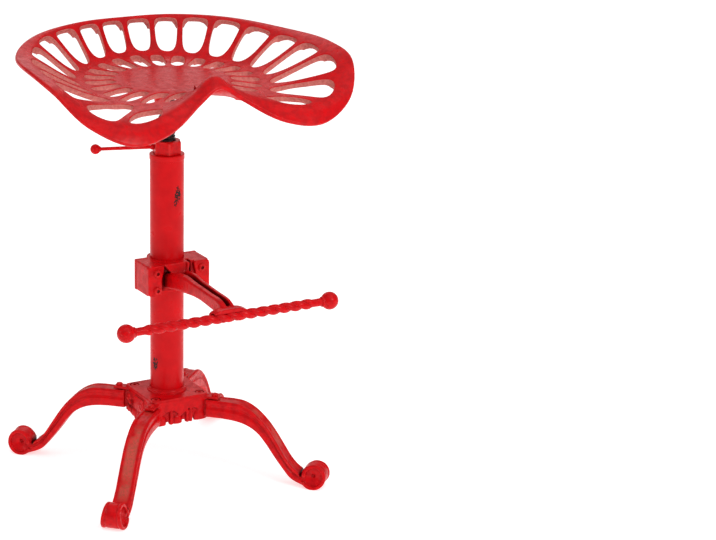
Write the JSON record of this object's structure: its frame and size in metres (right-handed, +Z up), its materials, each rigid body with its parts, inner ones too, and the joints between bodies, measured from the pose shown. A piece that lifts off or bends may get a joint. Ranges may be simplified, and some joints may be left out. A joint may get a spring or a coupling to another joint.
{
  "type": "adjustable screw stool",
  "caption": "Height-adjustable stool: slotted cast tractor seat on a screw spindle in a column, with a clamped footrest bar, a locking lever nut and scroll legs.",
  "frame": {"origin": "centre of the bounding box in plan, on the floor under the feet", "axes": "+Z up along the column, -Y the way the sitter faces, +X to the sitter's left"},
  "size_m": [0.4672, 0.3897, 0.6491],
  "materials": {
    "red_enamel": "glossy red enamel, slightly uneven, over cast iron and steel",
    "black_steel": "dark oiled steel",
    "nylon": "satin natural nylon",
    "plain_steel": "plain steel"
  },
  "bodies": {
    "base": {"hub": "red_enamel", "column": "red_enamel", "column_collar": "red_enamel", "column_insert": "red_enamel", "leg_rear_right": "red_enamel", "leg_rear_left": "red_enamel", "leg_front_left": "red_enamel", "leg_front_right": "red_enamel", "hub_screw_rear_right": "red_enamel", "hub_screw_rear_left": "red_enamel", "hub_screw_front_left": "red_enamel", "hub_screw_front_right": "red_enamel", "leg_bolt_rear_right": "red_enamel", "leg_bolt_rear_left": "red_enamel", "leg_bolt_front_left": "red_enamel", "leg_bolt_front_right": "red_enamel", "footrest_bracket": "red_enamel", "clamp_rear": "red_enamel", "clamp_bolt_left_low": "red_enamel", "clamp_bolt_left_high": "red_enamel", "clamp_bolt_right_low": "red_enamel", "clamp_bolt_right_high": "red_enamel", "clamp_nut_left_low": "red_enamel", "clamp_nut_left_high": "red_enamel", "clamp_nut_right_low": "red_enamel", "clamp_nut_right_high": "red_enamel", "footrest_bar": "red_enamel", "bar_ball_left": "red_enamel", "bar_ball_right": "red_enamel", "bar_screw_left": "red_enamel", "bar_screw_right": "red_enamel"},
    "riser": {"spindle_guide": "nylon"},
    "seat_screw": {"spindle": "black_steel", "guide_washer": "plain_steel", "guide_screw": "plain_steel", "seat": "red_enamel", "seat_flange": "red_enamel", "seat_bolt_1": "red_enamel", "seat_bolt_2": "red_enamel", "seat_bolt_3": "red_enamel", "seat_bolt_4": "red_enamel"},
    "lock": {"lock_nut": "red_enamel", "lever_rod": "red_enamel", "lever_ball": "red_enamel"}
  },
  "joints": [
    {"name": "seat_rise", "type": "slide", "parent": "base", "child": "riser", "axis": [0, 0, 1], "range_m": [0, 0.15]},
    {"name": "seat_turn", "type": "hinge", "parent": "riser", "child": "seat_screw", "pos_m": [0, 0.01149, 0.5], "axis": [0, 0, 1], "range_deg": [0, 10800]},
    {"name": "lock_turn", "type": "hinge", "parent": "base", "child": "lock", "pos_m": [0, 0.01149, 0.49], "axis": [0, 0, 1], "range_deg": [0, 90]}
  ],
  "couplings": [
    {"joint": "seat_rise", "follows": "seat_turn", "m_per_rad": 0.00079577}
  ]
}
